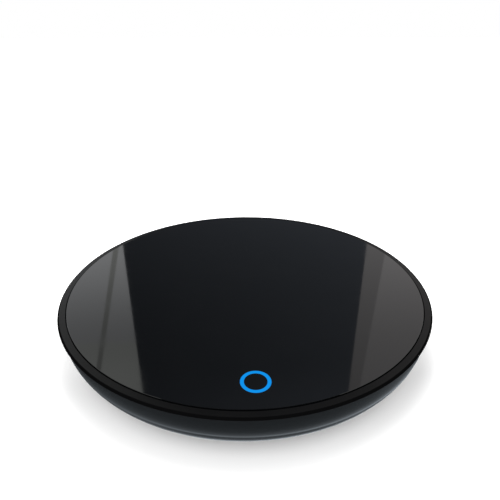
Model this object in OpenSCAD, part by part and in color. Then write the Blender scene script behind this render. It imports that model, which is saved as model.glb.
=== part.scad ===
// Round electric mug warmer with a floating heated glass plate.
// Millimetres. +Z up, origin on the table under the centre, -Y is the user's side.

/* [Overall] */
// Diameter over the bezel
body_d = 130; // [128:0.5:136]
// Height from the table to the top of the glass
body_h = 20; // [19.6:0.2:24]

/* [Glass plate] */
// Thickness of the glass
glass_t = 3; // [2.6:0.1:3.4]
// Running gap between the glass and the bezel
edge_gap = 0.4; // [0.3:0.05:0.6]
// Ground chamfer on the upper edge of the glass
glass_chamfer = 0.3; // [0.1:0.05:0.5]
// Thickness of the adhesive under the glass
bond_t = 0.4; // [0.3:0.05:0.6]

/* [Touch ring] */
// Outer diameter of the lit ring
ring_d = 8.6; // [8:0.1:8.8]
// Width of the lit line
ring_w = 1.1; // [0.8:0.1:1.3]
// Distance from the middle of the ring to the edge of the glass
ring_edge = 9.9; // [9.4:0.1:11]
// Depth of the lit inlay in the glass
ring_depth = 0.4; // [0.2:0.1:0.8]

/* [Bezel] */
// Width of the flat ring round the glass
bezel_w = 2.4; // [2.2:0.1:2.8]
// How far the bezel lies below the glass
bezel_drop = 0.2; // [0.1:0.05:0.4]
// Bevel along the outer edge of the bezel
bezel_bevel = 0.5; // [0.3:0.05:0.7]
// Thickness of the bezel at its outer edge
bezel_t = 1; // [0.9:0.05:1.2]
// Height of the shadow gap under the bezel
seam_h = 0.3; // [0.2:0.05:0.5]
// Depth of the shadow gap under the bezel
seam_depth = 0.5; // [0.3:0.05:0.6]

/* [Bowl] */
// How far the bowl stands back from the bezel's edge
bowl_inset = 1; // [0.7:0.1:1.2]
// Radius of the rounding from the side to the flat base
bowl_round = 15; // [13.5:0.25:15.25]
// Wall of the bowl
bowl_wall = 2; // [1.8:0.1:2.2]
// Height of the base above the table
foot_lift = 1.8; // [1.6:0.1:2.2]
// Diameter of the shallow round recess under the base
recess_d = 36; // [30:1:40]
// Depth of that recess
recess_depth = 0.3; // [0.2:0.1:0.6]
// Length of a ventilation slot
vent_l = 11; // [8:0.5:13]
// Width of a ventilation slot
vent_w = 1.6; // [1.2:0.1:2]
// Distance between ventilation slots
vent_pitch = 3.6; // [3.2:0.1:3.8]
// Number of ventilation slots on each side
vent_rows = 4; // [2:2:4]

/* [Floating plate] */
// How far the plate goes down under a mug
travel = 0.8; // [0.4:0.1:1]
// Diameter of a guide post
post_d = 5; // [4.6:0.1:5.2]
// Radial clearance of a post in its sleeve
post_clear = 0.15; // [0.1:0.01:0.2]
// Gap left at the upper and lower stops
stop_gap = 0.1; // [0.05:0.01:0.15]
// Wall of a guide sleeve
sleeve_wall = 1.55; // [1.4:0.05:1.6]
// Thickness of the carrier's deck
deck_t = 2; // [1.8:0.1:2.4]
// Depth of the carrier's ribs
rib_depth = 1.5; // [1:0.1:1.6]
// Thickness of the carrier's ribs
rib_t = 1.2; // [1:0.1:1.6]

/* [Springs] */
// Wire diameter of a plate spring
wire_d = 0.7; // [0.6:0.05:0.75]
// Inner clearance of a spring round its sleeve
spring_clear = 0.45; // [0.35:0.05:0.6]
// Number of curls of a spring
spring_curls = 5; // [4:1:5]

/* [Heater] */
// Distance from the edge of the heat spreader to the edge of the glass
heater_edge = 26.2; // [25.9:0.1:27.2]
// Thickness of the heat spreader
spreader_t = 1.2; // [1:0.1:1.4]
// Thickness of each mica sheet
mica_t = 0.4; // [0.3:0.05:0.5]
// Thickness of the heating ribbon
ribbon_t = 0.3; // [0.2:0.05:0.4]
// Width of the heating ribbon
ribbon_w = 2.4; // [2:0.1:2.8]
// Distance from the last turn of the ribbon to the edge of the insulating pad
ribbon_edge = 1.3; // [1:0.1:2]
// Turns of the ribbon
ribbon_turns = 6; // [4:2:6]
// Thickness of the insulating pad
pad_t = 0.8; // [0.6:0.05:1]
// Thickness of the pressed clamp plate
clamp_t = 0.8; // [0.6:0.05:0.9]
// Diameter of the thermal fuse
fuse_d = 3; // [2.6:0.1:3.2]
// Length of the thermal fuse
fuse_l = 9; // [8:0.5:10]

/* [Electronics] */
// Length of the control board
board_l = 75; // [74:0.5:76]
// Width of the control board
board_w = 34; // [32:0.5:35]
// Thickness of the control board
board_t = 1.2; // [1:0.1:1.6]
// Height of the board above the floor of the bowl
board_lift = 2.2; // [1.8:0.1:2.4]
// Side of the switch housing
switch_w = 6; // [5.6:0.1:6.4]
// Height of the switch housing
switch_h = 3.4; // [3:0.1:3.6]
// Diameter of the switch plunger
plunger_d = 3.4; // [3:0.1:3.6]

/* [Cord exit] */
// Diameter of the cord that the gland is made for
cord_d = 5.2; // [4.6:0.1:5.4]
// Height of the cord above the table
cord_z = 8; // [7.8:0.1:8.4]
// Wall of the gland
gland_wall = 1.2; // [1:0.1:1.3]

/* [Fasteners and feet] */
// Diameter of a rubber foot
foot_d = 11; // [10.6:0.1:11.2]
// Flat left between a foot and the rounding of the bowl
foot_edge = 0.5; // [0.2:0.1:1]
// Depth that a foot sits in the base
foot_sink = 0.3; // [0.2:0.05:0.4]
// Diameter of the screw threads
screw_d = 2.5; // [2.2:0.1:2.6]
// Diameter of the screw heads
head_d = 4.6; // [4.2:0.1:4.8]
// Height of the screw heads
head_h = 1.2; // [1:0.05:1.3]
// Thickness of the washer under a guide screw
washer_t = 0.6; // [0.4:0.05:0.7]
// Number of lugs that hold the bezel
lug_count = 6; // [3:3:6]
// Distance from the bezel screws to the edge of the glass
lug_edge = 10.2; // [9.8:0.1:10.6]

/* [Hidden] */
$fn = 96;

// small clearances that several pieces share
eps = 0.01;
pilot_clear = 0.05;
drop_clear = 0.4;
through = 100;

// radii of the outside
body_r = body_d / 2;
glass_r = body_r - bezel_w - edge_gap;
bore_r = glass_r + edge_gap;
bowl_r = body_r - bowl_inset;
flat_r = bowl_r - bowl_round;

// heights of the plate, from the glass down
glass_bot = body_h - glass_t;
deck_top = glass_bot - bond_t;
deck_bot = deck_top - deck_t;
spreader_bot = glass_bot - spreader_t;
mica_up_bot = spreader_bot - mica_t;
ribbon_bot = mica_up_bot - ribbon_t;
mica_low_bot = ribbon_bot - mica_t;
pad_bot = mica_low_bot - pad_t;
clamp_bot = pad_bot - clamp_t;

// heights of the bowl, from the table up
floor_top = foot_lift + bowl_wall;
arc_z = foot_lift + bowl_round;
bezel_top = body_h - bezel_drop;
bezel_bot = bezel_top - bezel_t;
rim_z = bezel_bot - seam_h;
ledge_z = glass_bot - travel - drop_clear;

// guide posts, sleeves and springs
post_r = flat_r - foot_d / 2 - foot_edge;
post_angles = [45, 135, 225, 315];
post_rad = post_d / 2;
sleeve_in = post_rad + post_clear;
sleeve_out = sleeve_in + sleeve_wall;
collar_h = 1.2;
collar_bot = deck_bot - collar_h;
sleeve_top = collar_bot - travel - stop_gap;
foot_top = foot_lift + foot_sink;
head_run = 0.2;
post_bot = foot_top + head_run + travel + head_h + washer_t;
sleeve_bot = post_bot + stop_gap;
washer_r = 3.9;
well_r = washer_r + 0.5;
pedestal_r = well_r + 1.6;
pedestal_top = sleeve_bot + 1.2;
spring_rad = sleeve_out + spring_clear + wire_d / 2;
spring_seat_gap = 0.05;

// bezel lugs
lug_r = glass_r - lug_edge;
lug_w = 12;
lug_t = 2.2;
lug_top = ledge_z - 0.1;
lug_bot = lug_top - lug_t;
neck_t = 0.7;
neck_r = bore_r + neck_t;
neck_bot = lug_top - 1.2;
pillar_r = 3.2;
pillar_bot = floor_top + 4.7;
lug_head_z = floor_top + 1.2;
notch_w = lug_w + 2;
notch_r = lug_r - pillar_r - 0.8;

// carrier
skirt_r = glass_r - 2.2;
skirt_t = 1.2;
skirt_h = 2;

// heater
spreader_r = glass_r - heater_edge;
deck_in = spreader_r + 0.5;
mica_r = spreader_r - 1;
pad_r = mica_r - 1.5;
ribbon_r0 = 9;
ribbon_gap = 2.2;
ribbon_end = pad_r - ribbon_edge - ribbon_w / 2;
ribbon_pitch = (ribbon_end - ribbon_r0) / (ribbon_turns - 1);
clamp_r = spreader_r - 2;
clamp_hub = 12.5;
clamp_screw_r = spreader_r + 4;
clamp_angles = [30, 150, 270];
ear_r = 3.4;
tab_w = 2.4;
tab_t = 0.6;
tab_l = 4.1;
tab_clear = 0.4;
tab_y = -ribbon_gap - ribbon_w / 2;
fuse_y = 5;
fuse_z = clamp_bot - fuse_d / 2;
sensor_d = 2.6;
sensor_pos = [-18.8, -6.8];
sensor_l = 2.7;

// light and touch
ring_r = glass_r - ring_edge;
guide_out = ring_d / 2 + 0.2;
guide_in = ring_d / 2 - ring_w - 0.2;
shroud_in = guide_out + 0.7;
shroud_out = shroud_in + 0.8;
shroud_h = 3.4;
led_board_top = deck_bot - shroud_h;
led_board_t = 1;
led_h = 0.7;
led_board_w = 20;
led_board_d = 9.4;
led_screw_x = 8;
led_pillar_r = 1.7;
led_screw_d = 1.6;
led_head_d = 3;
led_head_h = 0.9;
electrode_wire = 0.4;
electrode_r = 1.9;

// control board and switch
board_bot = floor_top + board_lift;
board_top = board_bot + board_t;
switch_x = -deck_in - 3.5;
board_x0 = switch_x - 5;
board_gap = 4.4;
board_y0 = post_r * cos(45) - pedestal_r - board_gap - board_w;
board_hole_in = 4;
board_post_r = 2.6;
switch_top = board_top + switch_h;
plunger_top = switch_top + travel + 0.2;
plunger_l = 2;
plunger_clear = 0.15;
press_gap = 0.1;
presser_r = 2.8;

// parts on the board: sizes, and places from the board's corner
chip_size = [10, 4, 1.5];
chip_at = [18, 24];
chip_lead = [0.4, 0.95, 0.5];
chip_pitch = 1.27;
triac_size = [9, 8, 3.4];
triac_at = [61, 16];
triac_tab = [3.4, 8, 0.9];
triac_lead = [3.1, 0.7, 0.7];
cap_d = 4;
cap_l = 10;
cap_at = [33, 30];
bridge_size = [4.8, 4, 2.3];
bridge_at = [47, 28];
bridge_lead = [0.7, 0.9, 0.6];
res_d = 2;
res_l = 5;
res_pitch = 5;
res_at = [13, 5];
lead_d = 0.5;
header_size = [7, 5, 3.4];
header_x = ribbon_r0 + tab_w / 2 + 1.8;
header_y = [1, 7];
pin = [0.6, 0.6, 2.2];
terminal = [0.7, 0.7, 1];

// cord exit
gland_bore = cord_d / 2 + 0.1;
gland_out = gland_bore + gland_wall;
gland_flange = gland_out + 1;
gland_collar = gland_out + 0.8;
boss_r = gland_out + 1.4;
boss_end = bowl_r - 2.4;
boss_start = boss_end - 8.6;
flange_t = 1.4;
barrel_start = boss_start - 3;
clamp_len = 4;
clamp_y = barrel_start - 2 - clamp_len;
clamp_half = 10.4;
clamp_screw_x = 7.6;
saddle_top = cord_z - 1.2;
bar_bot = cord_z - 1;
bar_t = 1.6;

// ---------- helpers ----------

// a child placed at radius r and angle a round the centre
module at_polar(r, a) {
  rotate([0, 0, a]) translate([r, 0, 0]) children();
}

// a ring between two heights
module tube(r_out, r_in, z0, z1) {
  translate([0, 0, z0]) difference() {
    cylinder(r = r_out, h = z1 - z0);
    translate([0, 0, -eps]) cylinder(r = r_in, h = z1 - z0 + 2 * eps);
  }
}

// a disc between two heights
module disc(r, z0, z1) {
  translate([0, 0, z0]) cylinder(r = r, h = z1 - z0);
}

// a box from its low corner to its high corner
module block(lo, hi) {
  translate(lo) cube(hi - lo);
}

// a flat plate with round corners, from its low corner
module round_plate(l, w, r, t) {
  linear_extrude(t) {
    translate([r, 0]) square([l - 2 * r, w]);
    translate([0, r]) square([l, w - 2 * r]);
    for (x = [r, l - r], y = [r, w - r]) translate([x, y]) circle(r);
  }
}

// a slot with round ends along X, centred
module slot_2d(l, w) {
  square([l - w, w], center = true);
  for (s = [-1, 1]) translate([s * (l - w) / 2, 0]) circle(w / 2);
}

// a pan head screw whose thread points up from z
module screw_up(z, len, d, hd, hh) {
  disc(d / 2, z - eps, z + len);
  translate([0, 0, z - hh]) difference() {
    cylinder(d = hd, h = hh);
    cross_recess(d, hh * 0.55);
  }
}

// the driver recess, cut into the lower face of a head at z = 0
module cross_recess(d, depth) {
  for (a = [0, 90]) rotate([0, 0, a])
    translate([-d * 0.55, -d * 0.11, -eps]) cube([d * 1.1, d * 0.22, depth]);
}

// a pan head screw whose thread points down from z
module screw_down(z, len, d, hd, hh) {
  translate([0, 0, 2 * z]) mirror([0, 0, 1]) screw_up(z, len, d, hd, hh);
}

// one unbroken wire coil: n curls of radius r rising from z0 to z1, with
// closer curls at both ends; 8 rings a curl and 6 sides
function coil_rise(t, n) = t < 1 ? t * coil_end_pitch
  : t > n - 1 ? 1 - (n - t) * coil_end_pitch
  : coil_end_pitch + (t - 1) * (1 - 2 * coil_end_pitch) / (n - 2);
coil_end_pitch = 0.165;
coil_rings = 8;
coil_sides = 6;
function coil_centre(i, n, r, h) = let (t = i / coil_rings)
  [r * cos(360 * t), r * sin(360 * t), coil_rise(t, n) * h];
module coil(n, r, wire, z0, z1) {
  last = n * coil_rings;
  rise = z1 - z0 - wire;
  points = [for (i = [0:last], k = [0:coil_sides - 1])
    let (c = coil_centre(i, n, r, rise), a = 360 * i / coil_rings, b = 360 * (k + 0.5) / coil_sides,
      out = cos(b) * wire / 2, up = sin(b) * wire / 2)
    [c[0] + out * cos(a), c[1] + out * sin(a), c[2] + up]];
  side_faces = [for (i = [0:last - 1], k = [0:coil_sides - 1])
    let (k2 = (k + 1) % coil_sides, p = i * coil_sides, q = p + coil_sides)
    each [[p + k, q + k, q + k2], [p + k, q + k2, p + k2]]];
  end_faces = [for (k = [1:coil_sides - 2])
    each [[0, k, k + 1], let (e = last * coil_sides) [e, e + k + 1, e + k]]];
  translate([0, 0, z0 + wire / 2]) polyhedron(points, concat(side_faces, end_faces), convexity = 6);
}
// least free gap between neighbouring curls, measured centre to centre
function coil_gap(n, r, wire, h) = min([for (i = [0:(n - 1) * coil_rings], j = [-2:2])
  let (k = min(max(i + coil_rings + j, i + 5), n * coil_rings))
  k - i < 5 ? h : norm(coil_centre(i, n, r, h - wire) - coil_centre(k, n, r, h - wire)) - wire]);
spring_z0 = pedestal_top + spring_seat_gap;
spring_z1 = deck_bot - spring_seat_gap;
electrode_curls = 4;
echo(spring_gap = coil_gap(spring_curls, spring_rad, wire_d, spring_z1 - spring_z0));
echo(electrode_gap = coil_gap(electrode_curls, electrode_r, electrode_wire, glass_bot - led_board_top));

// ---------- the floating plate ----------

module glass_plate() color([0.05, 0.05, 0.06]) difference() {
  rotate_extrude() polygon([[0, glass_bot], [glass_r, glass_bot], [glass_r, body_h - glass_chamfer],
    [glass_r - glass_chamfer, body_h], [0, body_h]]);
  translate([0, -ring_r, 0]) tube(ring_d / 2, ring_d / 2 - ring_w, body_h - ring_depth, body_h + 1);
}

module touch_ring() color([0.07, 0.55, 0.92])
  translate([0, -ring_r, 0]) tube(ring_d / 2, ring_d / 2 - ring_w, body_h - ring_depth, body_h);

// the cuts that let the bezel lugs pass
module lug_notches(w, r) {
  for (k = [0:lug_count - 1]) rotate([0, 0, k * 360 / lug_count])
    block([r, -w / 2, -1], [body_r, w / 2, through]);
}

module glass_bond() color([0.75, 0.75, 0.72]) difference() {
  tube(glass_r - 2.2, spreader_r + 7, deck_top, glass_bot);
  lug_notches(notch_w + 1, notch_r - 0.5);
  translate([0, -ring_r, 0]) disc(shroud_in, deck_top - 1, glass_bot + 1);
}

module heat_spreader() color([0.8, 0.8, 0.82]) disc(spreader_r, spreader_bot, glass_bot);

module mica_upper() color([0.72, 0.62, 0.42]) disc(mica_r, mica_up_bot, spreader_bot);

// concentric turns with one gap, joined on alternate sides of it
module heating_ribbon() color([0.6, 0.58, 0.55])
  translate([0, 0, ribbon_bot]) linear_extrude(ribbon_t) {
    for (i = [0:ribbon_turns - 1]) let (r = ribbon_r0 + i * ribbon_pitch) difference() {
      circle(r + ribbon_w / 2);
      circle(r - ribbon_w / 2);
      translate([0, -ribbon_gap]) square([r + ribbon_w, 2 * ribbon_gap]);
    }
    for (i = [0:ribbon_turns - 2]) let (r = ribbon_r0 + i * ribbon_pitch)
      translate([r - 0.4, i % 2 == 0 ? ribbon_gap : -ribbon_gap - ribbon_w])
        square([ribbon_pitch + 0.4, ribbon_w]);
  }

// the slots that the two heater tabs pass through
module tab_slots() {
  for (r = [ribbon_r0, ribbon_end])
    block([r - tab_w / 2 - tab_clear, tab_y - tab_t / 2 - tab_clear, 0],
      [r + tab_w / 2 + tab_clear, tab_y + tab_t / 2 + tab_clear, ribbon_bot]);
}

module mica_lower() color([0.72, 0.62, 0.42]) difference() {
  disc(mica_r, mica_low_bot, ribbon_bot);
  tab_slots();
}

module insulation_pad() color([0.9, 0.88, 0.82]) difference() {
  disc(pad_r, pad_bot, mica_low_bot);
  tab_slots();
  translate([sensor_pos[0], sensor_pos[1], 0]) disc(sensor_d / 2 + 0.2, 0, through);
}

// pressed disc with windows between its spokes and three ears
module clamp_plate() color([0.62, 0.63, 0.65]) difference() {
  translate([0, 0, clamp_bot]) linear_extrude(clamp_t) difference() {
    union() {
      circle(clamp_r);
      for (a = clamp_angles) rotate(a) {
        translate([clamp_r - 4, -ear_r]) square([clamp_screw_r - clamp_r + 4, 2 * ear_r]);
        translate([clamp_screw_r, 0]) circle(ear_r);
      }
    }
    for (k = [0:5]) rotate(k * 60 + 30) difference() {
      intersection() {
        difference() {
          circle(clamp_r - 4.5);
          circle(clamp_hub);
        }
        polygon([[0, 0], [2 * clamp_r, -2 * clamp_r * tan(30)], [2 * clamp_r, 2 * clamp_r * tan(30)]]);
      }
      for (s = [-1, 1]) rotate(s * 30) translate([0, -2.5]) square([clamp_r, 5]);
    }
    for (a = clamp_angles) rotate(a) translate([clamp_screw_r, 0]) circle(screw_d / 2 + 0.2);
  }
  tab_slots();
}

module clamp_screws() color([0.75, 0.75, 0.76])
  for (a = clamp_angles) at_polar(clamp_screw_r, a)
    screw_up(clamp_bot, clamp_t + 0.7 + deck_t - 0.6, screw_d, head_d, head_h - 0.1);

module heater_terminals() color([0.8, 0.72, 0.45])
  for (r = [ribbon_r0, ribbon_end]) difference() {
    block([r - tab_w / 2, tab_y - tab_t / 2, ribbon_bot - tab_l],
      [r + tab_w / 2, tab_y + tab_t / 2, ribbon_bot]);
    translate([r, tab_y + tab_t, ribbon_bot - tab_l + 1]) rotate([90, 0, 0]) cylinder(d = 1, h = 2 * tab_t);
  }

// metal can with a stepped seal end and two leads along X
module thermal_fuse() color([0.85, 0.84, 0.8])
  translate([-fuse_l / 2, fuse_y, fuse_z]) rotate([0, 90, 0]) {
    cylinder(d = fuse_d, h = fuse_l);
    translate([0, 0, fuse_l - eps]) cylinder(d = fuse_d * 0.55, h = 1.4);
    translate([0, 0, -3.5]) cylinder(d = 0.8, h = fuse_l + 7);
  }

// strap over the fuse with a flat foot on each side
module fuse_clip() color([0.7, 0.7, 0.72]) difference() {
  translate([-2.5, fuse_y, 0]) rotate([90, 0, 90]) linear_extrude(5) difference() {
    union() {
      translate([0, fuse_z]) circle(fuse_d / 2 + 0.5);
      translate([-fuse_d / 2 - 3.5, clamp_bot - 0.5]) square([fuse_d + 7, 0.5]);
    }
    translate([0, fuse_z]) circle(fuse_d / 2);
    translate([-fuse_d / 2, fuse_z]) square([fuse_d, 2 * fuse_d]);
    translate([-through / 2, clamp_bot]) square([through, fuse_d]);
  }
  for (s = [-1, 1]) translate([0, fuse_y + s * (fuse_d / 2 + 2), clamp_bot - 1]) cylinder(d = 1.2, h = 2);
}

// epoxy bead that touches the lower mica, with two leads
module temperature_sensor() color([0.25, 0.2, 0.16])
  translate([sensor_pos[0], sensor_pos[1], mica_low_bot - sensor_l]) {
    cylinder(d = sensor_d, h = sensor_l);
    for (s = [-1, 1]) translate([0, s * 0.6, -0.8]) cylinder(d = 0.4, h = 0.9);
  }

// one guide post with the collar that the spring centres on
module guide_post() {
  disc(post_rad, post_bot, deck_bot + eps);
  disc(sleeve_out - 0.2, collar_bot, deck_bot + eps);
}

module plate_carrier() color([0.13, 0.13, 0.14]) difference() {
  union() {
    tube(glass_r - 1.2, deck_in, deck_bot, deck_top);
    tube(skirt_r, skirt_r - skirt_t, deck_bot - skirt_h, deck_bot + eps);
    tube(deck_in + 1.3, deck_in, deck_bot - 0.5, deck_bot + eps);
    for (a = [0:90:270], s = [-15, 15]) rotate([0, 0, a + s])
      block([deck_in + 1, -rib_t / 2, deck_bot - rib_depth],
        [skirt_r - skirt_t / 2, rib_t / 2, deck_bot + eps]);
    for (a = post_angles) at_polar(post_r, a) guide_post();
    for (a = clamp_angles) at_polar(clamp_screw_r, a) disc(ear_r - 0.4, pad_bot, deck_bot + eps);
    translate([0, -ring_r, 0]) {
      disc(shroud_out, led_board_top, deck_bot + eps);
      for (s = [-1, 1]) translate([s * led_screw_x, 0, 0]) disc(led_pillar_r, led_board_top, deck_bot + eps);
    }
    translate([switch_x, 0, 0]) disc(presser_r, plunger_top + press_gap, deck_bot + eps);
  }
  lug_notches(notch_w, notch_r);
  translate([0, -ring_r, 0]) {
    disc(guide_out + 0.1, 0, through);
    disc(shroud_in, 0, deck_bot);
    for (s = [-1, 1]) translate([s * led_screw_x, 0, 0])
      disc(led_screw_d / 2 + pilot_clear, 0, deck_bot + 0.2);
  }
  for (a = post_angles) at_polar(post_r, a) disc(screw_d / 2 + pilot_clear, 0, post_bot + 6.2);
  for (a = clamp_angles) at_polar(clamp_screw_r, a) disc(screw_d / 2 + pilot_clear, 0, deck_top - 0.4);
  // room over the cord exit
  block([-boss_r - 1.4, boss_start - 2, 0], [boss_r + 1.4, body_r, deck_bot]);
}

module guide_screws() color([0.75, 0.75, 0.76])
  for (a = post_angles) at_polar(post_r, a)
    screw_up(post_bot - washer_t, 6 + washer_t, screw_d, head_d, head_h);

module guide_washers() color([0.8, 0.8, 0.8])
  for (a = post_angles) at_polar(post_r, a)
    tube(washer_r, screw_d / 2 + 0.1, post_bot - washer_t, post_bot);

// clear tube that carries the light up to the ring
module light_guide() color([0.85, 0.9, 0.95]) translate([0, -ring_r, 0]) {
  tube(guide_out, guide_in, led_board_top + led_h + 0.05, glass_bot);
  tube(shroud_in - 0.1, guide_out - 0.3, deck_bot - 1, deck_bot);
}

module led_board() color([0.1, 0.35, 0.2]) difference() {
  translate([-led_board_w / 2, -ring_r - led_board_d / 2, led_board_top - led_board_t])
    round_plate(led_board_w, led_board_d, 1, led_board_t);
  for (s = [-1, 1]) translate([s * led_screw_x, -ring_r, 0]) disc(led_screw_d / 2 + 0.1, 0, through);
}

module led_lamps() color([0.95, 0.95, 0.9]) for (a = [45:90:315])
  translate([0, -ring_r, 0]) at_polar((guide_out + guide_in) / 2, a)
    translate([0, 0, led_board_top + led_h / 2]) cube([0.8, 1.6, led_h], center = true);

module touch_electrode() color([0.8, 0.7, 0.4])
  translate([0, -ring_r, 0]) coil(electrode_curls, electrode_r, electrode_wire, led_board_top, glass_bot);

module led_board_screws() color([0.75, 0.75, 0.76])
  for (s = [-1, 1]) translate([s * led_screw_x, -ring_r, 0])
    screw_up(led_board_top - led_board_t, led_board_t + 2.2, led_screw_d, led_head_d, led_head_h);

// ---------- springs and switch ----------

module plate_springs() color([0.7, 0.72, 0.75])
  for (a = post_angles) at_polar(post_r, a) coil(spring_curls, spring_rad, wire_d, spring_z0, spring_z1);

module switch_plunger() color([0.8, 0.2, 0.15])
  translate([switch_x, 0, 0]) disc(plunger_d / 2, plunger_top - plunger_l, plunger_top);

// ---------- the base ----------

// outline of the bowl from the axis outwards, with rounding radius r and floor z
module bowl_2d(r, z, top) {
  translate([0, z]) square([flat_r, top - z]);
  translate([flat_r - eps, arc_z]) square([r + eps, top - arc_z]);
  intersection() {
    translate([flat_r, arc_z]) circle(r);
    translate([flat_r - eps, z]) square([r + 1, arc_z - z + eps]);
  }
}

module bowl_shell() rotate_extrude() difference() {
  bowl_2d(bowl_round, foot_lift, bezel_bot);
  intersection() {
    bowl_2d(bowl_round - bowl_wall, floor_top, bezel_bot + 1);
    square([flat_r + bowl_round - bowl_wall, through]);
  }
  translate([0, ledge_z]) square([bore_r, through]);
  translate([bowl_r - seam_depth, rim_z]) square([seam_depth + 1, through]);
}

// sleeve for a guide post, on a pedestal that the spring stands on
module guide_sleeve() {
  disc(pedestal_r, foot_lift + 0.2, pedestal_top);
  disc(sleeve_out, pedestal_top - eps, sleeve_top);
}

module floor_ribs() {
  for (r = [24, flat_r - 3]) tube(r + rib_t / 2, r - rib_t / 2, floor_top - eps, floor_top + 1.2);
  for (a = [0:30:330]) rotate([0, 0, a])
    block([recess_d / 2, -rib_t / 2, floor_top - eps], [flat_r, rib_t / 2, floor_top + 1.2]);
}

board_holes = [for (x = [board_hole_in, board_l - board_hole_in])
  for (y = [board_hole_in, board_w - board_hole_in]) [board_x0 + x, board_y0 + y]];

module base_housing() color([0.1, 0.11, 0.12]) difference() {
  union() {
    bowl_shell();
    floor_ribs();
    for (a = post_angles) at_polar(post_r, a) guide_sleeve();
    // pillars under the bezel screws, kept within the wall of the bowl
    intersection() {
      for (k = [0:lug_count - 1]) at_polar(lug_r, k * 360 / lug_count)
        disc(pillar_r + 0.6, foot_lift + 1.4, pillar_bot);
      rotate_extrude() bowl_2d(bowl_round - bowl_wall / 2, foot_lift + bowl_wall / 2, rim_z);
    }
    for (p = board_holes) translate(p) disc(board_post_r, floor_top - eps, board_bot);
    // saddle under the cord and the two clamp pillars
    block([-clamp_half, clamp_y, floor_top - eps], [clamp_half, clamp_y + clamp_len, saddle_top]);
    // collar that the gland sits in
    translate([0, boss_end, cord_z]) rotate([90, 0, 0]) cylinder(r = boss_r, h = boss_end - boss_start);
  }
  for (a = post_angles) at_polar(post_r, a) {
    disc(sleeve_in, 0, through);
    disc(well_r, 0, sleeve_bot);
    disc(foot_d / 2 + 0.2, 0, foot_top);
  }
  for (k = [0:lug_count - 1]) rotate([0, 0, k * 360 / lug_count]) {
    translate([lug_r, 0, 0]) {
      disc(screw_d / 2 + 0.25, 0, through);
      disc(head_d / 2 + 0.5, 0, lug_head_z);
    }
    // pocket in the rim for the lug's neck
    block([flat_r, -lug_w / 2 - 0.1, lug_bot - 0.4], [bowl_r - bowl_wall - 0.4, lug_w / 2 + 0.1, through]);
    intersection() {
      block([flat_r, -lug_w / 2 - 0.1, neck_bot - 0.2], [bowl_r, lug_w / 2 + 0.1, through]);
      disc(neck_r + pilot_clear, 0, through);
    }
  }
  for (p = board_holes) translate(p) disc(screw_d / 2 + pilot_clear, foot_lift + 1.2, through);
  disc(recess_d / 2, 0, foot_lift + recess_depth);
  for (s = [-1, 1], i = [0:vent_rows - 1])
    translate([s * (recess_d / 2 + 3 + vent_l / 2), (i - (vent_rows - 1) / 2) * vent_pitch, 0])
      linear_extrude(floor_top + 2) slot_2d(vent_l, vent_w);
  // cord passage
  translate([0, body_r, cord_z]) rotate([90, 0, 0]) {
    cylinder(r = gland_out + pilot_clear, h = body_r - boss_start + 1);
    cylinder(r = gland_flange + 0.2, h = body_r - boss_end);
    cylinder(r = gland_bore, h = body_r - clamp_y + 1);
  }
  translate([0, boss_start, cord_z]) rotate([90, 0, 0])
    cylinder(r = gland_collar + 0.2, h = boss_start - barrel_start + 0.5);
  for (s = [-1, 1]) translate([s * clamp_screw_x, clamp_y + clamp_len / 2, 0])
    disc(screw_d / 2 + pilot_clear, foot_lift + 1.2, through);
}

// flat ring with a bevelled edge, and screw lugs that reach in under the glass
module bezel_ring() color([0.14, 0.14, 0.15]) difference() {
  union() {
    rotate_extrude() polygon([[bore_r, bezel_bot], [body_r, bezel_bot], [body_r, bezel_top - bezel_bevel],
      [body_r - bezel_bevel, bezel_top], [bore_r, bezel_top]]);
    for (k = [0:lug_count - 1]) rotate([0, 0, k * 360 / lug_count]) {
      intersection() {
        tube(neck_r, bore_r, neck_bot, bezel_bot + eps);
        block([flat_r, -lug_w / 2, 0], [body_r, lug_w / 2, through]);
      }
      intersection() {
        disc(neck_r, neck_bot, lug_top);
        block([lug_r, -lug_w / 2, 0], [body_r, lug_w / 2, through]);
      }
      block([lug_r, -lug_w / 2, lug_bot], [bowl_r - bowl_wall - 1, lug_w / 2, lug_top]);
      translate([lug_r, 0, 0]) {
        disc(pillar_r, pillar_bot, lug_top);
        block([0, -pillar_r, lug_bot], [1, pillar_r, lug_top]);
      }
    }
  }
  for (k = [0:lug_count - 1]) at_polar(lug_r, k * 360 / lug_count)
    disc(screw_d / 2 + pilot_clear, 0, lug_top - 1);
}

module bezel_screws() color([0.2, 0.2, 0.21])
  for (k = [0:lug_count - 1]) at_polar(lug_r, k * 360 / lug_count)
    screw_up(lug_head_z, pillar_bot - lug_head_z + 4.4, screw_d, head_d, head_h);

module rubber_feet() color([0.09, 0.09, 0.09])
  for (a = post_angles) at_polar(post_r, a) rotate_extrude()
    polygon([[0, 0], [foot_d / 2 - 0.6, 0], [foot_d / 2, 0.6], [foot_d / 2, foot_top], [0, foot_top]]);

// bushing with a flange outside and a collar inside
module cord_gland() color([0.08, 0.08, 0.08])
  translate([0, 0, cord_z]) rotate([-90, 0, 0]) rotate_extrude() polygon([
    [gland_bore, barrel_start], [gland_out, barrel_start], [gland_out, boss_start - 1.3],
    [gland_collar, boss_start - 1.3], [gland_collar, boss_start], [gland_out, boss_start],
    [gland_out, boss_end], [gland_flange, boss_end], [gland_flange, boss_end + flange_t - 0.4],
    [gland_flange - 0.4, boss_end + flange_t], [gland_bore, boss_end + flange_t]]);

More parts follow.
